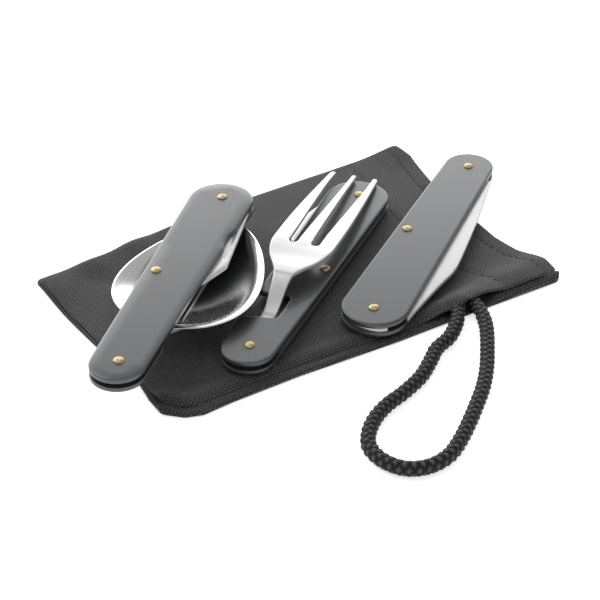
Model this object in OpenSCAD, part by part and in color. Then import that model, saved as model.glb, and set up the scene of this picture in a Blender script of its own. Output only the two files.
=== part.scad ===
// Picnic cutlery set: folding knife, folding fork and folding spoon on a drawstring pouch.
// Millimetres, +Z up. The origin is on the floor under the middle of the pouch.
// A tool is drawn in its own frame: the main pivot at the origin, the handle along +X,
// the opening side at +Y, the back spring at -Y, the outer face of the lower scale at Z 0.

/* [Handles] */
// distance from the main pivot to the butt rivet
pivot_span = 88; // [70:0.5:100]
// half width of the handle at the main pivot
half_w_pivot = 7.9; // [6:0.1:10]
// half width of the handle at the butt
half_w_butt = 9.9; // [7:0.1:12]
// thickness of one black scale
scale_t = 1.5; // [1:0.1:2.5]
// room between the two scales
gap = 1.4; // [1.4:0.1:2.6]
// height of the sloping edge of a scale
edge_h = 0.7; // [0.2:0.1:1]
// distance along the handle of the spring rivet
mid_x = 44; // [35:0.5:52]
// distance of the spring rivet from the middle line
mid_y = 5.5; // [4:0.1:6]

/* [Rivets] */
// shank diameter of every rivet
shank_d = 2.2; // [1.6:0.1:3]
// head diameter of every rivet
head_d = 3.2; // [2.6:0.1:4.5]
// height of the domed head
head_h = 0.65; // [0.3:0.05:1]
// radial room of a turning tang on its rivet
run_fit = 0.04; // [0.01:0.01:0.1]

/* [Steel] */
// thickness of blade, fork, spoon neck and openers
steel_t = 1.2; // [1:0.1:1.3]
// radius of the round tang at a pivot
tang_r = 4.8; // [4:0.1:5]
// widest reach of the knife spine from the middle line
spine_y = 14.6; // [12:0.1:16]
// height of the fork head over the lower face of its handle
head_z = 9.1; // [7:0.1:10]
// half width of the fork head
fork_half_w = 9.8; // [7:0.1:11]
// distance of the tine tips from the pivot
tine_reach = 96.2; // [80:0.1:99]
// width of the slots between the tines
slot_w = 2.8; // [1.5:0.1:3.5]
// half length of the spoon bowl
bowl_a = 29; // [24:0.1:34]
// half width of the spoon bowl
bowl_b = 20.8; // [16:0.1:24]
// outside depth of the spoon bowl
bowl_depth = 8; // [6:0.1:11]
// wall of the spoon bowl
bowl_wall = 1; // [0.8:0.1:1.4]
// distance of the bowl centre from the pivot
bowl_x = 53.1; // [48:0.1:56]

/* [Pouch] */
// thickness of one fabric panel
panel_t = 0.8; // [0.5:0.1:1.2]
// width of the casing that holds the drawstring
casing_w = 21; // [14:0.5:26]
// width of the side seams
seam_w = 3; // [2:0.1:4]
// height of the side seams
seam_h = 2.3; // [1.8:0.1:3]
// diameter of the braided drawstring
cord_d = 3.7; // [3:0.1:5]

/* [Hidden] */
thick = 2 * scale_t + gap;
lift = 2 * panel_t + 0.05 + head_h;
knife_at = [55.1, 67.6, lift];
knife_turn = 247.4;
fork_at = [-14.1, -32, lift];
fork_turn = 68.1;
spoon_at = [-48.5, -51.4, 15.7];
spoon_turn = 73.8;
fork_rest = 2;
spoon_rest = 3.3;
steel_z = scale_t + (gap - steel_t) / 2;
pivot_c = -0.6;
butt_c = 86.5;
lean = asin((half_w_butt - half_w_pivot) / (butt_c - pivot_c));
pouch = [[-34.5, -55], [-38, -54], [-41.5, -49], [-45, -41], [-58.3, -24], [-78.4, 4],
  [-78.4, 6], [-45.5, 35.5], [-16.2, 58], [0, 68.8], [32.3, 89.6], [37.4, 83.2],
  [43.2, 67], [55, 44], [61, 33], [67, 25.6], [75, 19.4], [78.6, 12.5], [77.8, 9.3],
  [54.4, -5], [28.7, -21.4], [0, -38]];
route = [[49.5, -5.5], [46.2, -8.3], [45.1, -15.1], [42.1, -21.8], [37.9, -27.6], [36.5, -34],
  [33.3, -40.8], [28.6, -47.5], [23.5, -53.4], [20.1, -59.2], [18.2, -65.5], [18.2, -71.1],
  [20.9, -76], [25.2, -79.2], [29.7, -80], [34.6, -78.4], [39.1, -74.3], [42.3, -68.3],
  [45, -61.5], [47.8, -53.4], [50.4, -45], [52.1, -36.5], [52.9, -27.6], [53.2, -19.8],
  [52.9, -11.8], [54.5, -6.5]];
$fn = 64;

// ---- placing -------------------------------------------------------------
module knife_place() {
  translate(knife_at) rotate([0, 0, knife_turn]) children();
}
module fork_place() {
  translate(fork_at) rotate([0, 0, fork_turn]) children();
}
module spoon_place() {
  translate(spoon_at) rotate([0, 0, spoon_turn]) rotate([180, 0, 0]) children();
}

// ---- handle pieces -------------------------------------------------------
module outline(inset) {
  s = sin(lean);
  c = cos(lean);
  r1 = half_w_pivot - inset;
  r2 = half_w_butt - inset;
  translate([pivot_c, 0]) circle(r = r1);
  translate([butt_c, 0]) circle(r = r2);
  polygon([[pivot_c - r1 * s, r1 * c], [pivot_c - r1 * s, -r1 * c],
    [butt_c - r2 * s, -r2 * c], [butt_c - r2 * s, r2 * c]]);
}
module rivet_bores(r) {
  for (p = [[0, 0], [mid_x, -mid_y], [pivot_span, 0]])
    translate([p[0], p[1], -1]) cylinder(r = r, h = thick + 2);
}
// a scale lying on Z 0 with its sloping edge on top
module scale_blank() {
  hull() {
    linear_extrude(height = scale_t - edge_h) outline(0);
    translate([0, 0, scale_t - 0.02]) linear_extrude(height = 0.02) outline(edge_h * 0.8);
  }
}
module top_scale() {
  difference() {
    translate([0, 0, scale_t + gap]) scale_blank();
    rivet_bores(shank_d / 2 + 0.02);
  }
}
module bottom_scale() {
  difference() {
    translate([0, 0, scale_t]) mirror([0, 0, 1]) scale_blank();
    rivet_bores(shank_d / 2 + 0.02);
  }
}
// the way out for the cranked neck, open to the opening side
module neck_notch() {
  translate([0, 0, scale_t + gap - 0.5]) linear_extrude(height = scale_t + 1)
    polygon([[15.2, -2], [27, -2], [25, 12], [12.2, 12]]);
}
// shallow scallop that lets a nail reach the opener
module nail_scallop() {
  translate([65.3, half_w_butt + 14.75, -1]) cylinder(r = 16, h = scale_t + 1.2);
}
module rivet(x, y) {
  translate([x, y, 0]) union() {
    cylinder(d = shank_d, h = thick);
    translate([0, 0, thick]) dome();
    mirror([0, 0, 1]) dome();
  }
}
module dome() {
  r = head_d / 2;
  big = (r * r + head_h * head_h) / (2 * head_h);
  rotate_extrude() intersection() {
    translate([0, head_h - big]) circle(r = big);
    square([r, head_h]);
  }
}
// spring with a free end at each tang
module double_spring() {
  difference() {
    translate([0, 0, scale_t + 0.05]) linear_extrude(height = gap - 0.1) intersection() {
      outline(0.2);
      polygon([[3, -12], [84.5, -12], [84.5, -5.6], [80, -5.6], [70, -4.1], [18, -3.5],
        [8, -5.3], [3, -5.3]]);
    }
    translate([mid_x, -mid_y, 0]) cylinder(r = shank_d / 2 + 0.02, h = thick);
  }
}
// spring of the knife, wrapped round the butt
module knife_spring() {
  difference() {
    translate([0, 0, scale_t + 0.05]) linear_extrude(height = gap - 0.1) intersection() {
      outline(0.2);
      polygon([[3, -12], [99, -12], [99, 6.4], [90, 6.4], [84, 3.6], [79, -0.6],
        [74, -3.5], [18, -3.5], [8, -5.3], [3, -5.3]]);
    }
    translate([mid_x, -mid_y, 0]) cylinder(r = shank_d / 2 + 0.02, h = thick);
    translate([pivot_span, 0, 0]) cylinder(r = shank_d / 2 + 0.02, h = thick);
  }
}
module pivot_bore() {
  translate([0, 0, -1]) cylinder(r = shank_d / 2 + run_fit, h = thick + 12);
}

// ---- knife blade ---------------------------------------------------------
function mixed(a, b, t) = a + (b - a) * t;
// quadratic curve through a control point
function bend(a, c, b, n) = [for (i = [0 : n])
  let (t = i / n) mixed(mixed(a, c, t), mixed(c, b, t), t)];
module blade_plan() {
  circle(r = tang_r);
  polygon(concat(
    [[-1, -4.6], [2.6, -4], [6, -2.6], [56, -2.6]],
    bend([56, -2.6], [77, -2.2], [87.4, 10.3], 12),
    bend([87.4, 10.3], [72, 12.2], [62.5, 13.9], 6),
    bend([62.5, 13.9], [59, spine_y + 0.2], [54, spine_y], 5),
    bend([54, spine_y], [30, spine_y - 1.7], [4.2, 9], 10),
    [[3.2, 7.4], [2, 5], [0, 4.6]]));
}
module blade_grind() {
  translate([-12, 0, 0]) rotate([90, 0, 90]) linear_extrude(height = 110)
    polygon([[-6, 0.5], [-2.6, 0.5], [5.5, 0], [16, 0], [16, steel_t],
      [5.5, steel_t], [-2.6, steel_t - 0.5], [-6, steel_t - 0.5]]);
}
module blade_shape() {
  difference() {
    union() {
      translate([0, 0, steel_z]) cylinder(r = tang_r, h = steel_t);
      intersection() {
        translate([0, 0, steel_z]) linear_extrude(height = steel_t) blade_plan();
        translate([0, 0, steel_z]) blade_grind();
      }
    }
    pivot_bore();
  }
}

// ---- fork ----------------------------------------------------------------
// height of the middle of the fork sheet along its length
function ease(t) = t <= 0 ? 0 : t >= 1 ? 1 : t * t * (3 - 2 * t);
function fork_mid(x) = steel_z + steel_t / 2
  + (head_z - steel_z - steel_t / 2) * ease((x - 17.5) / 13.5)
  - (x > 46 ? 3 * pow((x - 46) / 43, 1.15) : 0);
fork_xs = [for (i = [0 : 6]) 16.5 + i * 2.5, for (i = [1 : 10]) 31.5 + i * 6.8];
module fork_side() {
  lower = [for (x = fork_xs) [x, fork_mid(x) - steel_t / 2]];
  upper = [for (i = [len(fork_xs) - 1 : -1 : 0])
    [fork_xs[i], fork_mid(fork_xs[i]) + steel_t / 2]];
  translate([0, 20, 0]) rotate([90, 0, 0]) linear_extrude(height = 40)
    polygon(concat([[-8, steel_z]], lower, upper, [[-8, steel_z + steel_t]]));
}
// the neck and the head lie this far to the opening side of the pivot
head_shift = 1.1;
function half_head(side) = concat(
  [[16, side * 2]], bend([16, side * 2], [28, side * 2.1], [31, side * 3.2], 4),
  bend([31, side * 3.2], [34, side * 4.6], [37, side * 6.6], 3),
  bend([37, side * 6.6], [41.5, side * (fork_half_w - 0.6)],
    [47, side * fork_half_w], 5),
  [[56, side * fork_half_w], [63, side * 9.7], [71, side * 9.4], [79, side * 9],
    [87, side * 8.5], [tine_reach - 1, side * 7.9], [tine_reach, side * 7.3],
    [tine_reach, side * 6.3]]);
// everything between two neighbouring tines, tapering open towards the tips
module slot(side) {
  translate([48.6, side * 3.52 + head_shift, 0]) cylinder(d = slot_w - 0.05, h = 20);
  linear_extrude(height = 20)
    polygon([for (q = [[48.6, 2.15], [65, 1.6], [76, 1.3], [87, 0.95], [102, 0.6], [102, 6.4],
      [95, 6.3], [80, 5.75], [70, 5.45], [54, 5.05], [48.6, 4.9]])
      [q[0], side * q[1] + head_shift]]);
}
module fork_shape() {
  difference() {
    union() {
      translate([0, 0, steel_z]) cylinder(r = tang_r, h = steel_t);
      difference() {
        intersection() {
          linear_extrude(height = 20) fork_plan();
          fork_side();
        }
        slot(-1);
        slot(1);
      }
    }
    pivot_bore();
  }
}
module fork_plan() {
  right = half_head(-1);
  left = half_head(1);
  polygon(concat([[0, -4.4], [7, -2.6]], [for (q = right) [q[0], q[1] + head_shift]],
    [for (i = [len(left) - 1 : -1 : 0]) [left[i][0], left[i][1] + head_shift]],
    [[7, 3.8], [0, 4.4]]));
}

// ---- spoon ---------------------------------------------------------------
rim_z = thick + head_h + 0.35;
// an egg in plan, wider at the neck end
function bowl_point(a, b, depth, s, t) = [bowl_x + a * s * cos(t) * (1 + 0.042 * s * cos(t)),
  b * s * sin(t) * (1 - 0.245 * s * cos(t)), rim_z + depth * (1 - pow(s, 2.3))];
bowl_n = 48;
bowl_m = 10;
function ring(a, b, depth, j) = [for (i = [0 : bowl_n - 1])
  bowl_point(a, b, depth, j / bowl_m, i * 360 / bowl_n)];
module bowl_shell() {
  outer = [for (j = [bowl_m : -1 : 1]) each ring(bowl_a, bowl_b, bowl_depth, j)];
  inner = [for (j = [1 : bowl_m])
    each ring(bowl_a - bowl_wall, bowl_b - bowl_wall, bowl_depth - bowl_wall, j)];
  top = bowl_point(bowl_a, bowl_b, bowl_depth, 0, 0);
  low = bowl_point(bowl_a, bowl_b, bowl_depth - bowl_wall, 0, 0);
  n = bowl_n;
  m = bowl_m;
  pts = concat(outer, [top, low], inner);
  t0 = n * m;
  l0 = n * m + 1;
  i0 = n * m + 2;
  tris = concat(
    [for (j = [0 : m - 2], i = [0 : n - 1]) let (k = (i + 1) % n)
      each [[j * n + i, (j + 1) * n + i, j * n + k],
        [j * n + k, (j + 1) * n + i, (j + 1) * n + k]]],
    [for (i = [0 : n - 1]) [(m - 1) * n + i, t0, (m - 1) * n + (i + 1) % n]],
    [for (i = [0 : n - 1]) [i0 + i, i0 + (i + 1) % n, l0]],
    [for (j = [0 : m - 2], i = [0 : n - 1]) let (k = (i + 1) % n)
      each [[i0 + j * n + i, i0 + (j + 1) * n + i, i0 + j * n + k],
        [i0 + j * n + k, i0 + (j + 1) * n + i, i0 + (j + 1) * n + k]]],
    [for (i = [0 : n - 1]) let (k = (i + 1) % n, q = i0 + (m - 1) * n)
      each [[q + i, i, q + k], [q + k, i, k]]]);
  polyhedron(points = pts, faces = tris, convexity = 6);
}
function neck_mid(x) = steel_z + steel_t / 2
  + (rim_z + 1.3 - steel_z - steel_t / 2) * ease((x - 16.5) / 9.5);
neck_xs = [for (i = [0 : 6]) 15.5 + i * 2.2];
module spoon_neck() {
  lower = [for (x = neck_xs) [x, neck_mid(x) - steel_t / 2]];
  upper = [for (i = [len(neck_xs) - 1 : -1 : 0])
    [neck_xs[i], neck_mid(neck_xs[i]) + steel_t / 2]];
  intersection() {
    translate([0, 20, 0]) rotate([90, 0, 0]) linear_extrude(height = 40)
      polygon(concat([[-8, steel_z]], lower, upper, [[-8, steel_z + steel_t]]));
    linear_extrude(height = 20)
      polygon([[0, -4.4], [7, -3], [16, -2.2], [22, -2.6], [28.5, -6.5], [28.5, 6.5],
        [22, 2.6], [16, 2.2], [7, 3], [0, 4.4]]);
  }
}
module spoon_shape() {
  difference() {
    union() {
      translate([0, 0, steel_z]) cylinder(r = tang_r, h = steel_t);
      spoon_neck();
      bowl_shell();
    }
    pivot_bore();
  }
}

// ---- openers -------------------------------------------------------------
module opener(plan, nick) {
  difference() {
    union() {
      translate([pivot_span, 0, steel_z]) cylinder(r = tang_r, h = steel_t);
      translate([0, 0, steel_z]) linear_extrude(height = steel_t) polygon(plan);
    }
    translate([pivot_span, 0, 0]) pivot_bore();
    if (nick) {
      translate([69.5, 10, steel_z - 1]) cylinder(d = 1.3, h = 1.4);
      translate([58, 11.2, steel_z - 1]) cylinder(d = 1.3, h = 1.4);
      translate([58, 11.2, steel_z - 1]) rotate([0, 0, -5.96])
        translate([0, -0.55, 0]) cube([11.56, 1.1, 1.4]);
    }
  }
}
fork_opener_plan = [[89, -4.6], [89, 4.6], [85, 8.4], [82.4, 9.8], [73.6, 12.1], [60, 11.8],
  [57, 10.6], [55.8, 8], [56.4, 5.4], [60, 5], [61.4, 3.4], [60.6, 0.6], [63, -1.6],
  [70, -2.6], [82, -3.2]];
spoon_opener_plan = [[89, -4.6], [89, 4.6], [86, 8.2], [84.4, 9.7], [54.4, 12.6],
  [53.4, 12.3], [44, 8.6], [42.6, 6.4], [44.4, 3.6], [50, 0.4], [58, -1.6], [70, -2.4],
  [82, -3.2]];

// ---- pouch ---------------------------------------------------------------
// the strip along the mouth that is folded over the drawstring
module casing_band() {
  translate([78.6, 12.5]) rotate([0, 0, 123]) translate([-40, -30])
    square([180, casing_w + 30]);
}
module fabric(z0) {
  translate([0, 0, z0]) linear_extrude(height = panel_t) children();
}
// the two ways through the edge for the drawstring
module cord_ways() {
  for (i = [0 : len(path) - 2]) if (path[i][1] > -16 && path[i + 1][1] > -17)
    translate([path[i][0], path[i][1]])
      rotate(atan2(path[i + 1][1] - path[i][1], path[i + 1][0] - path[i][0]))
      translate([-1.2, -cord_d / 2 - 0.15])
      square([norm(path[i + 1] - path[i]) + 2.4, cord_d + 0.3]);
}

// ---- drawstring ----------------------------------------------------------
function cat(p, i, k, t) = let (
    a = p[max(i - 1, 0)], b = p[i], c = p[i + 1], d = p[min(i + 2, len(p) - 1)])
  0.5 * (2 * b[k] + (c[k] - a[k]) * t + (2 * a[k] - 5 * b[k] + 4 * c[k] - d[k]) * t * t
    + (3 * b[k] - a[k] - 3 * c[k] + d[k]) * t * t * t);
path = [for (i = [0 : len(route) - 2], s = [0 : 1])
  [cat(route, i, 0, s / 2), cat(route, i, 1, s / 2), cord_d / 2],
  [route[len(route) - 1][0], route[len(route) - 1][1], cord_d / 2]];
function along(p, i) = let (v = p[min(i + 1, len(p) - 1)] - p[max(i - 1, 0)]) v / norm(v);
module tube(p, r, n) {
  pts = [for (i = [0 : len(p) - 1]) let (d = along(p, i), w = [-d[1], d[0], 0])
    each [for (j = [0 : n - 1]) p[i] + r * (w * cos(j * 360 / n) + [0, 0, 1] * sin(j * 360 / n))]];
  m = len(p);
  polyhedron(points = pts, faces = concat(
    [[for (j = [0 : n - 1]) j]],
    [for (i = [0 : m - 2], j = [0 : n - 1]) let (k = (j + 1) % n)
      [i * n + j, (i + 1) * n + j, (i + 1) * n + k, i * n + k]],
    [[for (j = [n - 1 : -1 : 0]) (m - 1) * n + j]]), convexity = 8);
}

// ---- nodes ---------------------------------------------------------------
module pouch_lower_panel() {
  color([0.13, 0.13, 0.13]) fabric(0) difference() {
    polygon(pouch);
    casing_band();
    cord_ways();
  }
}
module pouch_upper_panel() {
  color([0.15, 0.15, 0.15]) fabric(panel_t) difference() {
    polygon(pouch);
    casing_band();
    cord_ways();
  }
}
module casing_lower_hem() {
  color([0.12, 0.12, 0.12]) fabric(0) intersection() {
    polygon(pouch);
    casing_band();
  }
}
module casing_upper_hem() {
  color([0.16, 0.16, 0.16]) fabric(panel_t) intersection() {
    polygon(pouch);
    casing_band();
  }
}
module near_side_seam() {
  color([0.1, 0.1, 0.1]) translate([0, 0, 2 * panel_t])
    linear_extrude(height = seam_h - 2 * panel_t)
    polygon([[-30, -52.4], [0, -37.6], [28, -21.4], [41.6, -12.7], [40, -10.4],
      [26.4, -18.9], [-1.4, -35], [-31.3, -49.7]]);
}
module far_side_seam() {
  color([0.1, 0.1, 0.1]) translate([0, 0, 2 * panel_t])
    linear_extrude(height = seam_h - 2 * panel_t)
    polygon([[-75, 8.6], [-45.2, 35.2], [-16, 57.6], [0, 68.2], [28, 86.3], [29.4, 83.8],
      [1.6, 65.8], [-14.3, 55.3], [-43.3, 33], [-73, 6.4]]);
}
module drawstring_loop() {
  color([0.08, 0.08, 0.08]) tube(path, cord_d / 2, 10);
}
module knife_top_scale() {
  color([0.2, 0.2, 0.21]) knife_place() top_scale();
}
module knife_bottom_scale() {
  color([0.2, 0.2, 0.21]) knife_place() bottom_scale();
}
module knife_back_spring() {
  color([0.75, 0.75, 0.76]) knife_place() knife_spring();
}
module knife_blade() {
  color([0.82, 0.82, 0.83]) knife_place() blade_shape();
}
module knife_pivot_rivet() {
  color([0.8, 0.68, 0.4]) knife_place() rivet(0, 0);
}
module knife_spring_rivet() {
  color([0.8, 0.68, 0.4]) knife_place() rivet(mid_x, -mid_y);
}
module knife_butt_rivet() {
  color([0.8, 0.68, 0.4]) knife_place() rivet(pivot_span, 0);
}
module fork_top_scale() {
  color([0.2, 0.2, 0.21]) fork_place() difference() {
    top_scale();
    neck_notch();
  }
}
module fork_bottom_scale() {
  color([0.2, 0.2, 0.21]) fork_place() bottom_scale();
}
module fork_back_spring() {
  color([0.75, 0.75, 0.76]) fork_place() double_spring();
}
module fork_head() {
  color([0.82, 0.82, 0.83]) fork_place() rotate([0, 0, fork_rest]) fork_shape();
}
module fork_opener() {
  color([0.78, 0.78, 0.79]) fork_place() opener(fork_opener_plan, false);
}
module fork_pivot_rivet() {
  color([0.8, 0.68, 0.4]) fork_place() rivet(0, 0);
}
module fork_spring_rivet() {
  color([0.8, 0.68, 0.4]) fork_place() rivet(mid_x, -mid_y);
}
module fork_opener_rivet() {
  color([0.8, 0.68, 0.4]) fork_place() rivet(pivot_span, 0);
}
module spoon_lower_scale() {
  color([0.2, 0.2, 0.21]) spoon_place() difference() {
    top_scale();
    neck_notch();
  }
}
module spoon_upper_scale() {
  color([0.2, 0.2, 0.21]) spoon_place() difference() {
    bottom_scale();
    nail_scallop();
  }
}
module spoon_back_spring() {
  color([0.75, 0.75, 0.76]) spoon_place() double_spring();
}
module spoon_bowl() {
  color([0.82, 0.82, 0.83]) spoon_place() rotate([0, 0, spoon_rest]) spoon_shape();
}
module spoon_opener() {
  color([0.78, 0.78, 0.79]) spoon_place() opener(spoon_opener_plan, true);
}
module spoon_pivot_rivet() {
  color([0.8, 0.68, 0.4]) spoon_place() rivet(0, 0);
}
module spoon_spring_rivet() {
  color([0.8, 0.68, 0.4]) spoon_place() rivet(mid_x, -mid_y);
}
module spoon_opener_rivet() {
  color([0.8, 0.68, 0.4]) spoon_place() rivet(pivot_span, 0);
}

pouch_lower_panel();
pouch_upper_panel();
casing_lower_hem();
casing_upper_hem();
near_side_seam();
far_side_seam();
drawstring_loop();
knife_top_scale();
knife_bottom_scale();
knife_back_spring();
knife_blade();
knife_pivot_rivet();
knife_spring_rivet();
knife_butt_rivet();
fork_top_scale();
fork_bottom_scale();
fork_back_spring();
fork_head();
fork_opener();
fork_pivot_rivet();
fork_spring_rivet();
fork_opener_rivet();
spoon_lower_scale();
spoon_upper_scale();
spoon_back_spring();
spoon_bowl();
spoon_opener();
spoon_pivot_rivet();
spoon_spring_rivet();
spoon_opener_rivet();
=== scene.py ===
"""Picnic cutlery set: folding knife, fork and spoon lying on a woven drawstring pouch.

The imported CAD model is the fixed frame. Every visible piece is built here as a fine mesh in the
place of its CAD node, dressed with a node-based finish, and rides on that node's body.
Plans are drawn in millimetres in each tool's own frame and placed in metres in the row frame.
"""

import logging
import math
from collections.abc import Callable, Sequence
from dataclasses import dataclass, field
from enum import Enum

import bpy
import numpy as np
from mathutils import Matrix, Vector, geometry, noise

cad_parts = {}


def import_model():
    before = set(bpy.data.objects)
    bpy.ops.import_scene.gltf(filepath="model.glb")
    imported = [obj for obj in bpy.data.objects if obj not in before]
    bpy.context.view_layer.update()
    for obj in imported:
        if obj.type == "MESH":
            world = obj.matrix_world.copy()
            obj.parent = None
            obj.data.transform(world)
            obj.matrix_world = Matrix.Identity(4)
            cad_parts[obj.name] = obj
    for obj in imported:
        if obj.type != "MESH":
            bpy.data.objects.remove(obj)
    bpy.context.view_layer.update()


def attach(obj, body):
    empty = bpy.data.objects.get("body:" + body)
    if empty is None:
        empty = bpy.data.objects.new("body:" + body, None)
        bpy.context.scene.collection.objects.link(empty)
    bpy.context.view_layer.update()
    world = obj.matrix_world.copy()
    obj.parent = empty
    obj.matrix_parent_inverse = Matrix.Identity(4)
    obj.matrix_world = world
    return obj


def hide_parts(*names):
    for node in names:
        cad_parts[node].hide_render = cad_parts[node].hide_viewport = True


LOG = logging.getLogger("picnic_set")
MM = 0.001
FAR = 1e9  # farther than anything in the set
SHORTEST_SIDE = 0.04  # points of a plan nearer to each other than this are joined
ROW_SHARE = 0.87  # height of a row of near equal-sided triangles, over its spacing

Point = tuple[float, float]
Surface = Callable[[np.ndarray], np.ndarray]


class Tool(Enum):
    """The three folding tools of the set."""

    KNIFE = "knife"
    FORK = "fork"
    SPOON = "spoon"


class Slot(Enum):
    """The record's material slots."""

    SCALE = "black_scale"
    STEEL = "polished_steel"
    SPRING = "steel_spring"
    BRASS = "brass_rivet"
    FABRIC = "pouch_fabric"
    CORD = "braided_cord"


class Look(Enum):
    """The finishes of a folding tool, each with the record's slot that it belongs to."""

    SCALE = ("scale", Slot.SCALE)
    BRASS = ("brass", Slot.BRASS)
    SPRING = ("spring", Slot.SPRING)
    STEEL = ("steel", Slot.STEEL)
    MIRROR = ("mirror", Slot.STEEL)


# ---------------------------------------------------------------- plane figures


def bend(a: Point, c: Point, b: Point, n: int) -> list[Point]:
    """Points of a quadratic curve.

    Args:
        a: first point.
        c: control point.
        b: last point.
        n: number of steps.

    Returns:
        n + 1 points from a to b.
    """
    out = []
    for t in (i / n for i in range(n + 1)):
        p, q, r = (1 - t) ** 2, 2 * t * (1 - t), t * t
        out.append(tuple(p * a[k] + q * c[k] + r * b[k] for k in (0, 1)))
    return out


def arc(cx: float, cy: float, r: float, a0: float, a1: float, n: int) -> list[Point]:
    """Points of a circular arc from angle a0 to a1 in degrees.

    Args:
        cx: centre along X.
        cy: centre along Y.
        r: radius.
        a0: first angle.
        a1: last angle.
        n: number of steps.

    Returns:
        n + 1 points.
    """
    angles = [math.radians(a0 + (a1 - a0) * i / n) for i in range(n + 1)]
    return [(cx + r * math.cos(a), cy + r * math.sin(a)) for a in angles]


def rounded(loop: Sequence[Point], radius: float, sharper: float = 25.0) -> list[Point]:
    """Rounds the corners of a closed loop that turn by more than an angle.

    Args:
        loop: corner points.
        radius: radius of the rounding.
        sharper: smallest turn in degrees that is rounded.

    Returns:
        The loop with an arc at each such corner.
    """
    out: list[Point] = []
    count = len(loop)
    for i in range(count):
        p, q, r = (Vector(loop[(i + k) % count]) for k in (-1, 0, 1))
        u, v = p - q, r - q
        if u.length < 1e-6 or v.length < 1e-6:
            continue
        turn = math.pi - u.angle(v)
        if math.degrees(turn) < sharper:
            out.append(tuple(q))
            continue
        cut = min(radius * math.tan(turn / 2), 0.48 * u.length, 0.48 * v.length)
        start, stop = (tuple(q + side.normalized() * cut) for side in (u, v))
        out.extend(bend(start, tuple(q), stop, 6))
    return out


def resampled(loop: Sequence[Point], step: float) -> np.ndarray:
    """Splits the long sides of a closed loop and drops doubled points.

    Args:
        loop: points of the loop.
        step: longest side wanted.

    Returns:
        An array of points, anticlockwise.
    """
    pts: list[np.ndarray] = []
    count = len(loop)
    for i in range(count):
        a, b = np.array(loop[i]), np.array(loop[(i + 1) % count])
        n = max(1, math.ceil(float(np.linalg.norm(b - a)) / step))
        pts.extend(a + (b - a) * k / n for k in range(n))
    kept = [pts[0]]
    for p in pts[1:]:
        if np.linalg.norm(p - kept[-1]) > SHORTEST_SIDE:
            kept.append(p)
    if np.linalg.norm(kept[-1] - kept[0]) <= SHORTEST_SIDE:
        kept.pop()
    ring = np.array(kept)
    x, y = ring[:, 0], ring[:, 1]
    area = float((x * np.roll(y, -1) - np.roll(x, -1) * y).sum())
    return ring if area > 0 else ring[::-1].copy()


def line_distance(
    points: np.ndarray, line: np.ndarray | Sequence[Point], closed: bool = False
) -> np.ndarray:
    """Distance of points from a line of straight stretches.

    Args:
        points: N by 2.
        line: the line's own points.
        closed: whether the last of them joins the first.

    Returns:
        N distances.
    """
    starts = np.asarray(line, float)
    ends = np.roll(starts, -1, 0)
    best = np.full(len(points), FAR)
    for a, b in zip(starts if closed else starts[:-1], ends):
        d = b - a
        t = np.clip(((points - a) @ d) / max(float(d @ d), 1e-12), 0, 1)
        best = np.minimum(best, ((points - (a + t[:, None] * d)) ** 2).sum(1))
    return np.sqrt(best)


def measure(line: np.ndarray) -> np.ndarray:
    """How far along a line each of its points is."""
    return np.r_[0, np.cumsum(np.linalg.norm(np.diff(line, axis=0), axis=1))]


def inside(points: np.ndarray, loop: np.ndarray) -> np.ndarray:
    """Tells which points lie inside a closed loop.

    Args:
        points: N by 2.
        loop: M by 2.

    Returns:
        N booleans.
    """
    found = np.zeros(len(points), bool)
    ends = np.roll(loop, -1, 0)
    px, py = points[:, 0], points[:, 1]
    for (ax, ay), (bx, by) in zip(loop, ends):
        if ay == by:
            continue
        found ^= ((ay > py) != (by > py)) & (px < (bx - ax) * (py - ay) / (by - ay) + ax)
    return found


def inset(loop: np.ndarray, depth: float) -> np.ndarray:
    """Moves every point of an anticlockwise loop inwards.

    Args:
        loop: the loop.
        depth: distance to move.

    Returns:
        The points that are really that far inside.
    """
    ahead, behind = np.roll(loop, -1, 0) - loop, loop - np.roll(loop, 1, 0)
    ahead /= np.linalg.norm(ahead, axis=1)[:, None]
    behind /= np.linalg.norm(behind, axis=1)[:, None]
    along = ahead + behind
    along /= np.maximum(np.linalg.norm(along, axis=1), 1e-6)[:, None]
    stretch = 1 / np.maximum((along * ahead).sum(1), 0.5)
    moved = loop + np.c_[-along[:, 1], along[:, 0]] * (depth * stretch)[:, None]
    return moved[inside(moved, loop) & (line_distance(moved, loop, True) > 0.9 * depth)]


def smoothstep(t: np.ndarray) -> np.ndarray:
    """Eases from 0 to 1."""
    t = np.clip(t, 0, 1)
    return t * t * (3 - 2 * t)


def level(z: float) -> Surface:
    """A surface of one height."""
    return lambda p: np.full(len(p), z)


# ---------------------------------------------------------------- meshes


def new_object(
    name: str, verts: np.ndarray, faces: Sequence[Sequence[int]], place: Matrix
) -> bpy.types.Object:
    """Makes an object from points in millimetres.

    Args:
        name: name of the piece.
        verts: N by 3, in the frame that place maps from.
        faces: corner numbers of each face.
        place: the frame's place in the row frame, in millimetres.

    Returns:
        The object, at the origin, with its place in its mesh.
    """
    turn, shift = np.array(place.to_3x3()), np.array(place.translation)
    world = (np.asarray(verts, float) @ turn.T + shift) * MM
    mesh = bpy.data.meshes.new(name)
    mesh.from_pydata(world.tolist(), [], [list(f) for f in faces])
    mesh.update()
    obj = bpy.data.objects.new(name, mesh)
    bpy.context.scene.collection.objects.link(obj)
    return obj


def smooth(obj: bpy.types.Object, degrees: float = 40.0) -> None:
    """Shades an object smooth except at sharp edges.

    Args:
        obj: the piece.
        degrees: smallest angle that stays sharp.
    """
    obj.data.shade_smooth()
    obj.data.set_sharp_from_angle(angle=math.radians(degrees))


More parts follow.
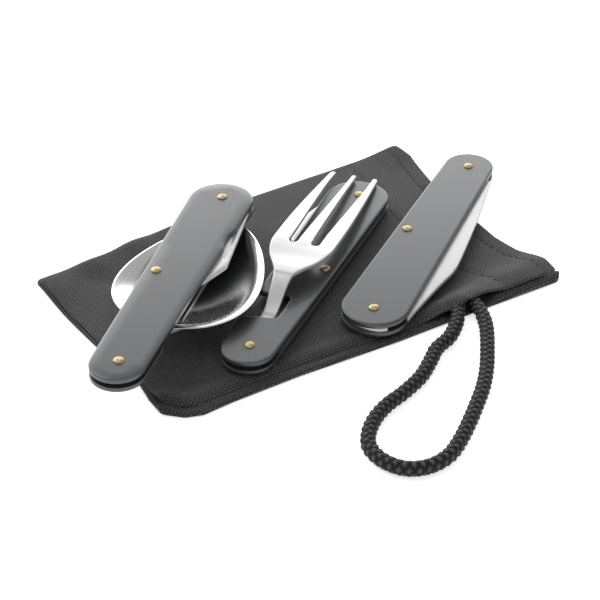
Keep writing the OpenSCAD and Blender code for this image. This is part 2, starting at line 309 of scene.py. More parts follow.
@dataclass
class Plate:
    """A part cut from sheet: a plan, an upper and a lower face, and rolled edges.

    A roll is how far in from the edge it starts and how far the edge falls away.
    The guard is an extra row of points that keeps the flat face flat up to the roll.
    """

    loop: np.ndarray
    top: Surface
    low: Surface
    top_roll: Point = (0.25, 0.2)
    low_roll: Point = (0.2, 0.15)
    spacing: float = 1.6
    sharp: float = 40.0
    guard: float = 0.0

    def sheet(self) -> tuple[np.ndarray, list[list[int]], list[int]]:
        """Fills the plan with triangles.

        Returns:
            The points, the triangles, and the numbers of the edge's points in order.
        """
        widest = max(self.top_roll[0], self.low_roll[0])
        depths = [max(self.top_roll[0] * share, 0.03) for share in (0.08, 0.28, 0.6, 1.0)]
        if self.guard:
            depths.append(widest + self.guard)
        low, high = self.loop.min(0), self.loop.max(0)
        xs = np.arange(low[0], high[0], self.spacing)
        ys = np.arange(low[1], high[1], self.spacing * ROW_SHARE)
        step = self.spacing / 2
        grid = np.array([(x + step * (j % 2), y) for j, y in enumerate(ys) for x in xs])
        grid = grid[inside(grid, self.loop)]
        grid = grid[line_distance(grid, self.loop, True) > widest + 0.45 * self.spacing]
        points = np.vstack([self.loop, *(inset(self.loop, d) for d in depths), grid])
        count = len(self.loop)
        found = geometry.delaunay_2d_cdt(
            [Vector(p) for p in points], [], [list(range(count))], 1, 1e-5
        )
        new_of = {old: new for new, olds in enumerate(found[3]) for old in olds}
        edge = [new_of[i] for i in range(count)]
        return np.array([tuple(p) for p in found[0]]), [list(f) for f in found[2]], edge

    def build(self, name: str, place: Matrix) -> bpy.types.Object:
        """Makes the closed mesh.

        Args:
            name: name of the piece.
            place: the plan's frame.

        Returns:
            The object.
        """
        flat, tris, edge = self.sheet()
        gap = line_distance(flat, self.loop, True)

        def drop(roll: Point) -> np.ndarray:
            """How far a face falls away at each point near the edge."""
            q = np.clip(1 - gap / max(roll[0], 1e-6), 0, 1)
            return roll[1] * (1 - np.sqrt(np.maximum(1 - q * q, 0)))

        upper = np.c_[flat, self.top(flat) - drop(self.top_roll)]
        lower = np.c_[flat, self.low(flat) + drop(self.low_roll)]
        n = len(flat)
        faces = []
        for tri in tris:
            a, b, c = (flat[i] for i in tri)
            turn = (b[0] - a[0]) * (c[1] - a[1]) - (b[1] - a[1]) * (c[0] - a[0])
            up = tri if turn > 0 else tri[::-1]
            faces += [up, [i + n for i in reversed(up)]]
        for i, e in enumerate(edge):
            f = edge[(i + 1) % len(edge)]
            if e != f:
                faces.append([e + n, f + n, f, e])
        obj = new_object(name, np.vstack([upper, lower]), faces, place)
        smooth(obj, self.sharp)
        return obj


def rings_object(
    name: str, rings: Sequence[np.ndarray], place: Matrix, sharp: float = 50.0
) -> bpy.types.Object:
    """Joins closed rings of equal count and closes both ends with a fan.

    Args:
        name: name of the piece.
        rings: each N by 3.
        place: the frame they are drawn in.
        sharp: smallest angle that stays sharp.

    Returns:
        The object.
    """
    n = len(rings[0])
    verts = np.vstack([*rings, rings[0].mean(0), rings[-1].mean(0)])
    faces: list[list[int]] = []
    for j in range(len(rings) - 1):
        for i in range(n):
            k = (i + 1) % n
            faces.append([j * n + i, j * n + k, (j + 1) * n + k, (j + 1) * n + i])
    first, last, end = len(rings) * n, len(rings) * n + 1, (len(rings) - 1) * n
    for i in range(n):
        k = (i + 1) % n
        faces += [[first, k, i], [last, end + i, end + k]]
    obj = new_object(name, verts, faces, place)
    smooth(obj, sharp)
    return obj


def dress(
    obj: bpy.types.Object, look: bpy.types.Material, body: str, slot: Slot, *nodes: str
) -> bpy.types.Object:
    """Gives a piece its finish, joins it to its body and reports it.

    Args:
        obj: the piece.
        look: its finish.
        body: the body that it rides on.
        slot: the record's slot that the finish belongs to; not used.
        nodes: the CAD nodes that it stands for.

    Returns:
        The piece.
    """
    obj.data.materials.append(look)
    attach(obj, body)
    if nodes:
        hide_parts(*nodes)
    LOG.info("%s: %d faces", obj.name, len(obj.data.polygons))
    return obj


# ---------------------------------------------------------------- finishes


class Nodes:
    """Short hand for building a material's node tree."""

    def __init__(self, name: str) -> None:
        """Starts a material with one Principled shader.

        Args:
            name: name of the material.
        """
        self.material = bpy.data.materials.new(name)
        self.material.use_nodes = True
        self.tree = self.material.node_tree
        self.tree.nodes.clear()
        self.out = self.tree.nodes.new("ShaderNodeOutputMaterial")
        self.shader = self.tree.nodes.new("ShaderNodeBsdfPrincipled")
        self.link(self.shader.outputs[0], self.out.inputs["Surface"])
        self.where = self.tree.nodes.new("ShaderNodeTexCoord").outputs["Object"]

    def link(self, a: bpy.types.NodeSocket, b: bpy.types.NodeSocket) -> None:
        """Links two sockets."""
        self.tree.links.new(a, b)

    def put(self, socket: bpy.types.NodeSocket, value: object) -> None:
        """Links or sets a socket.

        Args:
            socket: an input.
            value: an output to link, or a plain value.
        """
        if isinstance(value, bpy.types.NodeSocket):
            self.link(value, socket)
        else:
            socket.default_value = value

    def math(self, kind: str, *values: object) -> bpy.types.NodeSocket:
        """Adds a Math node.

        Args:
            kind: its operation.
            values: outputs to link, or plain numbers.

        Returns:
            The result.
        """
        node = self.tree.nodes.new("ShaderNodeMath")
        node.operation = kind
        for socket, value in zip(node.inputs, values):
            self.put(socket, value)
        return node.outputs[0]

    def turned(self, scale: Sequence[float], turn: float) -> bpy.types.NodeSocket:
        """Object coordinates turned about Z and then scaled.

        Args:
            scale: factor along each axis.
            turn: degrees about Z.

        Returns:
            The vector.
        """
        first = self.tree.nodes.new("ShaderNodeMapping")
        first.inputs["Rotation"].default_value = (0, 0, math.radians(turn))
        self.link(self.where, first.inputs["Vector"])
        second = self.tree.nodes.new("ShaderNodeMapping")
        second.inputs["Scale"].default_value = scale
        self.link(first.outputs[0], second.inputs["Vector"])
        return second.outputs[0]

    def noise(
        self, vector: bpy.types.NodeSocket, scale: float, detail: float = 3.0
    ) -> bpy.types.NodeSocket:
        """Adds a noise texture.

        Args:
            vector: where it is sampled.
            scale: its scale.
            detail: its number of octaves.

        Returns:
            The noise, about 0 to 1.
        """
        node = self.tree.nodes.new("ShaderNodeTexNoise")
        node.inputs["Scale"].default_value = scale
        node.inputs["Detail"].default_value = detail
        self.link(vector, node.inputs["Vector"])
        return node.outputs["Fac"]

    def ramp(
        self, fac: bpy.types.NodeSocket, stops: Sequence[tuple[float, Sequence[float]]]
    ) -> bpy.types.NodeSocket:
        """A colour ramp.

        Args:
            fac: what drives it.
            stops: positions with their colours.

        Returns:
            The colour.
        """
        node = self.tree.nodes.new("ShaderNodeValToRGB")
        bar = node.color_ramp.elements
        for i, (at, colour) in enumerate(stops):
            stop = bar[i] if i < 2 else bar.new(at)
            stop.position = at
            stop.color = (*colour, 1.0)
        self.link(fac, node.inputs["Fac"])
        return node.outputs["Color"]

    def span(self, fac: bpy.types.NodeSocket, low: float, high: float) -> bpy.types.NodeSocket:
        """Maps 0 to 1 onto another range.

        Args:
            fac: the value to map.
            low: what 0 becomes.
            high: what 1 becomes.

        Returns:
            The mapped value.
        """
        node = self.tree.nodes.new("ShaderNodeMapRange")
        node.inputs["To Min"].default_value = low
        node.inputs["To Max"].default_value = high
        self.link(fac, node.inputs["Value"])
        return node.outputs["Result"]

    def bump(self, height: bpy.types.NodeSocket, distance: float, strength: float) -> None:
        """Adds a bump to the shader.

        Args:
            height: the relief.
            distance: its depth in metres.
            strength: its strength.
        """
        node = self.tree.nodes.new("ShaderNodeBump")
        node.inputs["Distance"].default_value = distance
        node.inputs["Strength"].default_value = strength
        self.link(height, node.inputs["Height"])
        self.link(node.outputs[0], self.shader.inputs["Normal"])

    def surface(self, colour: bpy.types.NodeSocket, rough: bpy.types.NodeSocket) -> None:
        """Links the shader's colour and roughness."""
        self.link(colour, self.shader.inputs["Base Color"])
        self.link(rough, self.shader.inputs["Roughness"])

    def plain(self, **values: object) -> None:
        """Sets the shader's own sockets, spaces written as underscores."""
        for name, value in values.items():
            self.shader.inputs[name.replace("_", " ")].default_value = value


@dataclass(frozen=True)
class SatinBlack:
    """Black anodised plate with a fine satin grain and faint handling marks."""

    name: str = "satin_black_scale"
    dark: float = 0.022
    light: float = 0.03
    rough: Point = (0.3, 0.37)
    grain: float = 2600.0
    marks: float = 38.0
    relief: Point = (0.00002, 0.25)

    def material(self) -> bpy.types.Material:
        """Builds the material."""
        n = Nodes(self.name)
        fine = n.noise(n.where, self.grain, 2.0)
        cloud = n.noise(n.where, self.marks, 4.0)
        tone = n.math("ADD", n.math("MULTIPLY", fine, 0.4), n.math("MULTIPLY", cloud, 0.6))
        ends = ((0.3, self.dark), (0.7, self.light))
        colour = n.ramp(tone, [(at, (v, v, v * 1.02)) for at, v in ends])
        n.surface(colour, n.span(tone, *self.rough))
        n.plain(Specular_IOR_Level=0.95, Specular_Tint=(0.95, 0.975, 1.0, 1.0))
        n.bump(fine, *self.relief)
        return n.material


@dataclass(frozen=True)
class Steel:
    """Stainless steel with a brushed grain along one direction."""

    name: str
    turn: float
    tone: float = 0.57
    rough: Point = (0.26, 0.34)
    brush: float = 0.03
    metal: float = 0.4
    grain: Sequence[float] = (60, 2600, 60)
    clouds: float = 90.0

    def material(self) -> bpy.types.Material:
        """Builds the material."""
        n = Nodes(self.name)
        lines = n.noise(n.turned(self.grain, self.turn), 1.0, 3.0)
        cloud = n.noise(n.where, self.clouds, 3.0)
        t = self.tone
        colour = n.ramp(cloud, [(0.3, (t * 0.97, t * 0.97, t * 0.965)), (0.7, (t, t, t * 0.995))])
        n.surface(colour, n.span(lines, *self.rough))
        n.plain(Metallic=self.metal)
        n.bump(lines, 0.00001, self.brush)
        return n.material


@dataclass(frozen=True)
class Brass:
    """Brass buffed bright on a peened head, with a little tarnish."""

    name: str = "peened_brass"
    tarnished: Sequence[float] = (0.28, 0.21, 0.1)
    worn: Sequence[float] = (0.45, 0.35, 0.18)
    bright: Sequence[float] = (0.56, 0.45, 0.26)
    mottle: float = 1500.0
    relief: Point = (0.00006, 0.5)

    def material(self) -> bpy.types.Material:
        """Builds the material."""
        n = Nodes(self.name)
        cloud = n.noise(n.where, self.mottle, 4.0)
        stops = [(0.3, self.tarnished), (0.55, self.worn), (0.75, self.bright)]
        n.surface(n.ramp(cloud, stops), n.span(cloud, 0.48, 0.34))
        n.plain(Metallic=1.0)
        n.bump(cloud, *self.relief)
        return n.material


@dataclass(frozen=True)
class Woven:
    """Plain weave polyester: warp and weft cross over and under, thread by thread, with painted
    shade between the threads and painted highlight on their crowns.
    """

    name: str
    turn: float
    pitch: float = 0.00078
    # low is painted shade in the gaps between threads; high is the black yarn lightened by painted
    # highlight on its crowns.
    low: float = 0.001
    high: float = 0.09
    wander: float = 0.8
    relief: Point = (0.00014, 0.8)

    def material(self) -> bpy.types.Material:
        """Builds the material."""
        n = Nodes(self.name)
        slack = n.math("MULTIPLY", n.noise(n.where, 60.0, 2.0), self.wander)
        f = 1.0 / self.pitch
        grid = n.turned((f, f, f), self.turn)
        split = n.tree.nodes.new("ShaderNodeSeparateXYZ")
        n.link(grid, split.inputs[0])
        u = n.math("ADD", split.outputs[0], slack)
        v = n.math("ADD", split.outputs[1], slack)
        cell = n.math("ABSOLUTE", n.math("ADD", n.math("FLOOR", u), n.math("FLOOR", v)))
        over = n.math("MODULO", cell, 2.0)

        def wave(place: bpy.types.NodeSocket, power: float) -> bpy.types.NodeSocket:
            """A rounded hump over each thread's width or length."""
            hump = n.math("ABSOLUTE", n.math("SINE", n.math("MULTIPLY", place, math.pi)))
            return n.math("POWER", hump, power)

        warp = n.math("MULTIPLY", wave(u, 0.7), wave(v, 0.5))
        weft = n.math("MULTIPLY", wave(v, 0.7), wave(u, 0.5))
        under = n.math("SUBTRACT", 1.0, over)
        lower = n.math("MULTIPLY", n.math("MULTIPLY", weft, 0.8), under)
        height = n.math("ADD", n.math("MULTIPLY", warp, over), lower)
        fleck = n.noise(n.where, 900.0, 2.0)
        # Colour follows the weave's relief: painted shade in the low gaps and on threads passing
        # under, painted highlight on the raised crowns, random fleck on top.
        tone = n.math("MULTIPLY", height, n.span(fleck, 0.6, 1.35))
        gap, yarn = self.low, self.high
        colour = n.ramp(tone, [(0.42, (gap, gap, gap)), (1.0, (yarn, yarn * 0.99, yarn * 0.98))])
        n.surface(colour, n.span(fleck, 0.62, 0.8))
        n.plain(Sheen_Weight=0.04, Sheen_Roughness=0.4)
        n.bump(height, *self.relief)
        return n.material


@dataclass(frozen=True)
class Braid:
    """Black filament yarn of the braided cord, with painted shade in the gaps between strands and
    painted highlight on the strands' crowns.
    """

    name: str = "cord_yarn"
    # gap is painted shade between the strands; yarn is the black yarn lightened by painted
    # highlight on the crowns.
    gap: Sequence[float] = (0.0004, 0.0004, 0.0004)
    yarn: Sequence[float] = (0.07, 0.07, 0.069)
    relief: Point = (0.00008, 0.4)

    def material(self) -> bpy.types.Material:
        """Builds the material."""
        n = Nodes(self.name)
        fleck = n.noise(n.where, 1600.0, 3.0)
        strand = n.tree.nodes.new("ShaderNodeAttribute")
        strand.attribute_name = "crown"
        # The crown height from the cord's mesh drives the colour: painted shade in the gaps,
        # painted highlight on the crowns.
        tone = n.math("MULTIPLY", strand.outputs["Fac"], n.span(fleck, 0.5, 1.4))
        n.surface(n.ramp(tone, [(0.4, self.gap), (1.0, self.yarn)]), n.span(fleck, 0.5, 0.7))
        n.plain(Specular_IOR_Level=0.3)
        n.bump(fleck, *self.relief)
        return n.material


@dataclass(frozen=True)
class Floor:
    """Plain pale table top."""

    name: str = "pale_floor"
    tone: float = 0.93
    glow: float = 0.6

    def material(self) -> bpy.types.Material:
        """Builds the material."""
        n = Nodes(self.name)
        n.plain(
            Base_Color=(self.tone, self.tone, self.tone, 1),
            Roughness=0.9,
            Emission_Color=(1, 1, 1, 1),
            Emission_Strength=self.glow,
        )
        return n.material


# ---------------------------------------------------------------- drawstring


@dataclass
class Drawstring:
    """The braided loop that leaves the casing and goes back into it.

    The gaps between strands lie gap_depth under the nominal surface, and a strand's crown
    rises by relief from there. Near the casing the cord is lifted and pressed flatter.
    """

    diameter: float = 4.3
    length: float = 0.1765
    carriers: int = 4
    pitch: float = 2.3
    around: int = 64
    step: float = 0.25
    phase: float = 0.75
    gap_depth: float = 0.37
    relief: float = 0.44
    exit_y: float = -13.0
    exit_rise: float = 0.4
    exit_flat: float = 0.2
    route: list[Point] = field(
        default_factory=lambda: [
            (47.5, -3.4), (46.3, -7), (46, -11), (45.1, -15.6), (42.7, -21.9), (38.8, -27.3),
            (36.6, -33.2), (33.5, -40.5), (28.6, -47.5), (23.5, -53.4), (20.1, -59.2),
            (18.2, -65.5), (18.2, -71.1), (20.9, -76), (25.2, -79.2), (29.7, -80),
            (34.6, -78.4), (39.1, -74.3), (42.3, -68.3), (45, -61.5), (47.8, -53.4),
            (50.4, -45), (52.1, -36.5), (53, -28.4), (53.6, -21), (53.7, -15.5), (53, -10.3),
            (51.6, -5.8), (50.2, -3.2),
        ]
    )

    def near_exit(self, y: np.ndarray) -> np.ndarray:
        """How near the casing a place along Y is, from 0 to 1."""
        return smoothstep((y - self.exit_y) / 5)

    def line(self) -> np.ndarray:
        """Draws a smooth curve through the route.

        Returns:
            The centreline, evenly spaced, in millimetres.
        """
        p = [np.array(q) for q in self.route]
        out = []
        for i in range(len(p) - 1):
            a, b, c, d = p[max(i - 1, 0)], p[i], p[i + 1], p[min(i + 2, len(p) - 1)]
            square, cube = 2 * a - 5 * b + 4 * c - d, 3 * b - a - 3 * c + d
            for t in np.arange(0, 1, 0.05):
                out.append(0.5 * (2 * b + (c - a) * t + square * t**2 + cube * t**3))
        out.append(p[-1])
        fine = np.array(out)
        far = measure(fine)
        at = np.linspace(0, far[-1], int(far[-1] / self.step) + 1)
        flat = np.c_[np.interp(at, far, fine[:, 0]), np.interp(at, far, fine[:, 1])]
        return np.c_[flat, self.diameter / 2 + self.exit_rise * self.near_exit(flat[:, 1])]

    def build(self) -> bpy.types.Object:
        """Makes the braid as a closed tube whose surface follows the crossing strands.

        Returns:
            The cord.
        """
        line = self.line()
        along = np.gradient(line, axis=0)
        along /= np.linalg.norm(along, axis=1)[:, None]
        side = np.c_[-along[:, 1], along[:, 0], np.zeros(len(line))]
        far = measure(line)
        angle = np.arange(self.around) * 2 * math.pi / self.around
        rings, crowns = [], []
        for s, p, w in zip(far, line, side):
            round_ = self.carriers * angle / (2 * math.pi) + self.phase
            u, v = round_ + s / self.pitch, round_ - s / self.pitch
            turn = (np.floor(u) + np.floor(v)) % 2
            own = np.where(turn < 1, u, v) % 1.0
            cross = np.where(turn < 1, v, u) % 1.0
            crown = np.maximum(np.sin(own * math.pi), 0) ** 0.9 * (
                0.08 + 0.92 * np.maximum(np.sin(cross * math.pi), 0) ** 0.65
            )
            up = np.array([0, 0, 1 - self.exit_flat * float(self.near_exit(p[1]))])
            r = self.diameter / 2 - self.gap_depth + self.relief * crown
            spokes = w * np.cos(angle)[:, None] + up * np.sin(angle)[:, None]
            rings.append(p + spokes * r[:, None])
            crowns.append(crown)
        obj = rings_object("braided_drawstring", rings, Matrix.Identity(4), 80.0)
        # The crown heights are stored on the mesh for the cord's finish, which paints shade into
        # the gaps and highlight onto the crowns from them.
        crown = obj.data.attributes.new("crown", "FLOAT", "POINT")
        values = np.r_[np.concatenate(crowns), 0.5, 0.5].astype(np.float32)
        crown.data.foreach_set("value", values)
        dress(obj, Braid().material(), "pouch", Slot.CORD, "drawstring_loop")
        return obj


# ---------------------------------------------------------------- folding tools

RIVET_DOME: list[Point] = [
    (0.35, 0.63), (0.8, 0.6), (1.15, 0.5), (1.4, 0.34), (1.56, 0.14), (1.56, 0.02),
]
RIVET_SHANK = 1.1
TANG_R = 4.8
THIN_ROLL: Point = (0.12, 0.1)
STEEL_ROLL: Point = (0.25, 0.14)


@dataclass
class FoldingTool:
    """Two black scales on brass rivets with a back spring between them.

    The pivot is the origin of the tool's frame and the butt's rivet lies at span along X.
    """

    tool: Tool
    shift: Sequence[float]
    turn: float
    flipped: bool = False
    span: float = 88.0
    near_r: float = 7.9
    far_r: float = 9.9
    near_c: float = -0.6
    far_c: float = 86.5
    scale: float = 1.5
    gap: float = 1.4
    steel: float = 1.2
    mid: Point = (44.0, -5.5)
    roll: Point = (0.62, 0.4)
    lower_roll: Point = (0.3, 0.2)
    looks: dict[Look, bpy.types.Material] = field(default_factory=dict)

    @property
    def place(self) -> Matrix:
        """The tool's frame in the row frame."""
        turned = Matrix.Rotation(math.radians(self.turn), 4, "Z")
        out = Matrix.Translation(self.shift) @ turned
        return out @ Matrix.Rotation(math.pi, 4, "X") if self.flipped else out

    @property
    def thick(self) -> float:
        """Height of the closed handle without rivet heads."""
        return 2 * self.scale + self.gap

    @property
    def steel_z(self) -> float:
        """Height of the lower face of the steel."""
        return self.scale + (self.gap - self.steel) / 2

    def ends(self, less: float = 0.0) -> tuple[list[Point], list[Point]]:
        """The handle's two round ends.

        Args:
            less: distance inside the true edge.

        Returns:
            The butt's arc and the pivot end's arc, both anticlockwise.
        """
        lean = math.degrees(math.asin((self.far_r - self.near_r) / (self.far_c - self.near_c)))
        far = arc(self.far_c, 0, self.far_r - less, -90 - lean, 90 + lean, 44)
        near = arc(self.near_c, 0, self.near_r - less, 90 + lean, 270 - lean, 40)
        return far, near

    def outline(self, less: float = 0.0) -> list[Point]:
        """The handle's plan, or the line that lies less inside it."""
        far, near = self.ends(less)
        return far + near

    def notched(self) -> list[Point]:
        """Cuts the way out for the cranked neck into the plan.

        Returns:
            The notched plan, anticlockwise.
        """
        far, near = self.ends()

        def edge(x: float) -> float:
            """Height of the opening side at x."""
            t = (x - self.near_c) / (self.far_c - self.near_c)
            return self.near_r + (self.far_r - self.near_r) * t

        cut = [(25.35, edge(25.3)), (27.0, -2.0), (15.2, -2.0), (12.7, edge(12.9))]
        cut = rounded([(60.0, edge(60)), *cut, (0.0, edge(0)), (30.0, -30.0)], 1.8)
        cut = [q for q in cut if q[1] > -3.5 and 8 < q[0] < 34]
        return far + cut + near

    def scale_piece(self, name: str, node: str, upper: bool, plan: list[Point]) -> None:
        """Builds one black scale.

        Args:
            name: name of the piece.
            node: the CAD node it stands for.
            upper: whether it is the scale at the top of the tool's frame.
            plan: its plan.
        """
        base = self.scale + self.gap if upper else 0.0
        rolls = (self.roll, (0.18, 0.14)) if upper else (THIN_ROLL, self.lower_roll)
        heights = (level(base + self.scale), level(base))
        plate = Plate(resampled(plan, 0.9), *heights, *rolls, 3.0, 50.0, 0.1)
        self.add(plate.build(name, self.place), node, Look.SCALE)

    def add(
        self, obj: bpy.types.Object, node: str, look: Look, body: str = ""
    ) -> bpy.types.Object:
        """Dresses a piece and joins it to its body.

        Args:
            obj: the piece.
            node: the CAD node it stands for.
            look: its finish.
            body: the body, or nothing for the handle.

        Returns:
            The piece.
        """
        body = body or f"{self.tool.value}_handle"
        return dress(obj, self.looks[look], body, look.value[1], node)

    def rivet_piece(self, name: str, node: str, at: Point) -> None:
        """Builds one rivet with a peened dome at each end.

        Args:
            name: name of the piece.
            node: the CAD node it stands for.
            at: its axis.
        """
        seed = Vector((at[0], at[1], 3.0 + len(name)))
        angle = np.arange(40) * 2 * math.pi / 40

        def ring(r: float, z: float, rough: float = 0.05) -> np.ndarray:
            """One ring of the rivet, a little uneven.

            Args:
                r: radius.
                z: height.
                rough: how uneven it is, as a share of the radius.

            Returns:
                The ring's points.
            """
            spots = [Vector((1.3 * math.cos(a), 1.3 * math.sin(a), z)) for a in angle]
            wave = rough * np.array([noise.noise(seed + spot) for spot in spots])
            rr = r * (1 + wave)
            return np.c_[at[0] + rr * np.cos(angle), at[1] + rr * np.sin(angle), z + 0.6 * wave]

        rings = [
            *(ring(r, -h) for r, h in RIVET_DOME),
            ring(RIVET_SHANK, 0.05, 0.0),
            ring(RIVET_SHANK, self.thick - 0.05, 0.0),
            *(ring(r, self.thick + h) for r, h in reversed(RIVET_DOME)),
        ]
        self.add(rings_object(name, rings, self.place, 60.0), node, Look.BRASS)

    def spring_piece(self, name: str, node: str, cut: list[Point]) -> None:
        """Builds the back spring, inset a little from the scales' edge.

        Args:
            name: name of the piece.
            node: the CAD node it stands for.
            cut: the part of the handle's plan that it fills.
        """
        clipped = resampled(clip_loop(self.outline(0.2), cut), 1.2)
        heights = (level(self.scale + self.gap - 0.05), level(self.scale + 0.05))
        plate = Plate(clipped, *heights, THIN_ROLL, THIN_ROLL, 4.0)
        self.add(plate.build(name, self.place), node, Look.SPRING)

    def rivets(self, names: Sequence[str]) -> None:
        """Builds the three rivets.

        Args:
            names: the middle word of each, from the pivot to the butt.
        """
        spots = [(0.0, 0.0), self.mid, (self.span, 0.0)]
        for word, at in zip(names, spots):
            node = f"{self.tool.value}_{word}_rivet"
            self.rivet_piece(f"{node}_brass", node, at)


def clip_loop(subject: Sequence[Point], clip: Sequence[Point]) -> list[Point]:
    """Keeps the part of a convex loop that lies in another loop.

    Args:
        subject: a convex loop, anticlockwise.
        clip: any simple loop.

    Returns:
        The common part as one loop.
    """
    out = [tuple(p) for p in resampled(clip, 1.0)]
    ring = [tuple(p) for p in resampled(subject, 3.0)]
    for i in range(len(ring)):
        a, b = ring[i], ring[(i + 1) % len(ring)]
        given, out = out, []
        for j in range(len(given)):
            p, q = given[j], given[(j + 1) % len(given)]

            sp, sq = (
                (b[0] - a[0]) * (s[1] - a[1]) - (b[1] - a[1]) * (s[0] - a[0]) for s in (p, q)
            )
            if sp >= 0:
                out.append(p)
            if (sp >= 0) != (sq >= 0):
                t = sp / (sp - sq)
                out.append((p[0] + (q[0] - p[0]) * t, p[1] + (q[1] - p[1]) * t))
    return out


@dataclass
class Knife(FoldingTool):
    """The knife, closed, with the spine of its blade proud of the scales."""

    grind_depth: float = 0.48
    grind_from: float = 5.5
    grind_wide: float = 8.1

    def blade(self) -> None:
        """Builds the blade: a flat with a long grind down to the cutting edge."""
        plan = (
            arc(0, 0, TANG_R, 100, 262, 18)
            + [(2.6, -4.0), (6.0, -2.6), (56.0, -2.6)]
            + bend((56, -2.6), (77, -2.2), (87.4, 10.3), 26)
            + bend((87.4, 10.3), (72, 12.2), (62.5, 13.9), 14)
            + bend((62.5, 13.9), (59, 14.8), (54, 14.6), 8)
            + bend((54, 14.6), (30, 12.9), (4.2, 9.0), 24)
            + [(3.2, 7.4), (2.0, 5.0)]
        )
        z0, t = self.steel_z, self.steel

        def grind(p: np.ndarray) -> np.ndarray:
            """How much is ground off each face.

            Args:
                p: points.

            Returns:
                Depths.
            """
            down = np.clip((self.grind_from - p[:, 1]) / self.grind_wide, 0, 1)
            return self.grind_depth * down * smoothstep((p[:, 0] - 6) / 6)

        plate = Plate(
            resampled(plan, 0.8), lambda p: z0 + t - grind(p), lambda p: z0 + grind(p),
            STEEL_ROLL, (0.2, 0.12), 1.8,
        )
        blade = plate.build("knife_blade_steel", self.place)
        self.add(blade, "knife_blade", Look.STEEL, "knife_blade")

    def build(self) -> None:
        """Builds the whole knife."""
        self.scale_piece("knife_upper_scale_plate", "knife_top_scale", True, self.outline())
        self.scale_piece("knife_lower_scale_plate", "knife_bottom_scale", False, self.outline())
        self.spring_piece(
            "knife_spring_bar",
            "knife_back_spring",
            [(3, -12), (99, -12), (99, 6.4), (90, 6.4), (84, 3.6), (79, -0.6),
             (74, -3.5), (18, -3.5), (8, -5.3), (3, -5.3)],
        )
        self.blade()
        self.rivets(["pivot", "spring", "butt"])


DOUBLE_SPRING: list[Point] = [
    (3, -12), (84.5, -12), (84.5, -5.6), (80, -5.6), (70, -4.1), (18, -3.5), (8, -5.3), (3, -5.3),
]


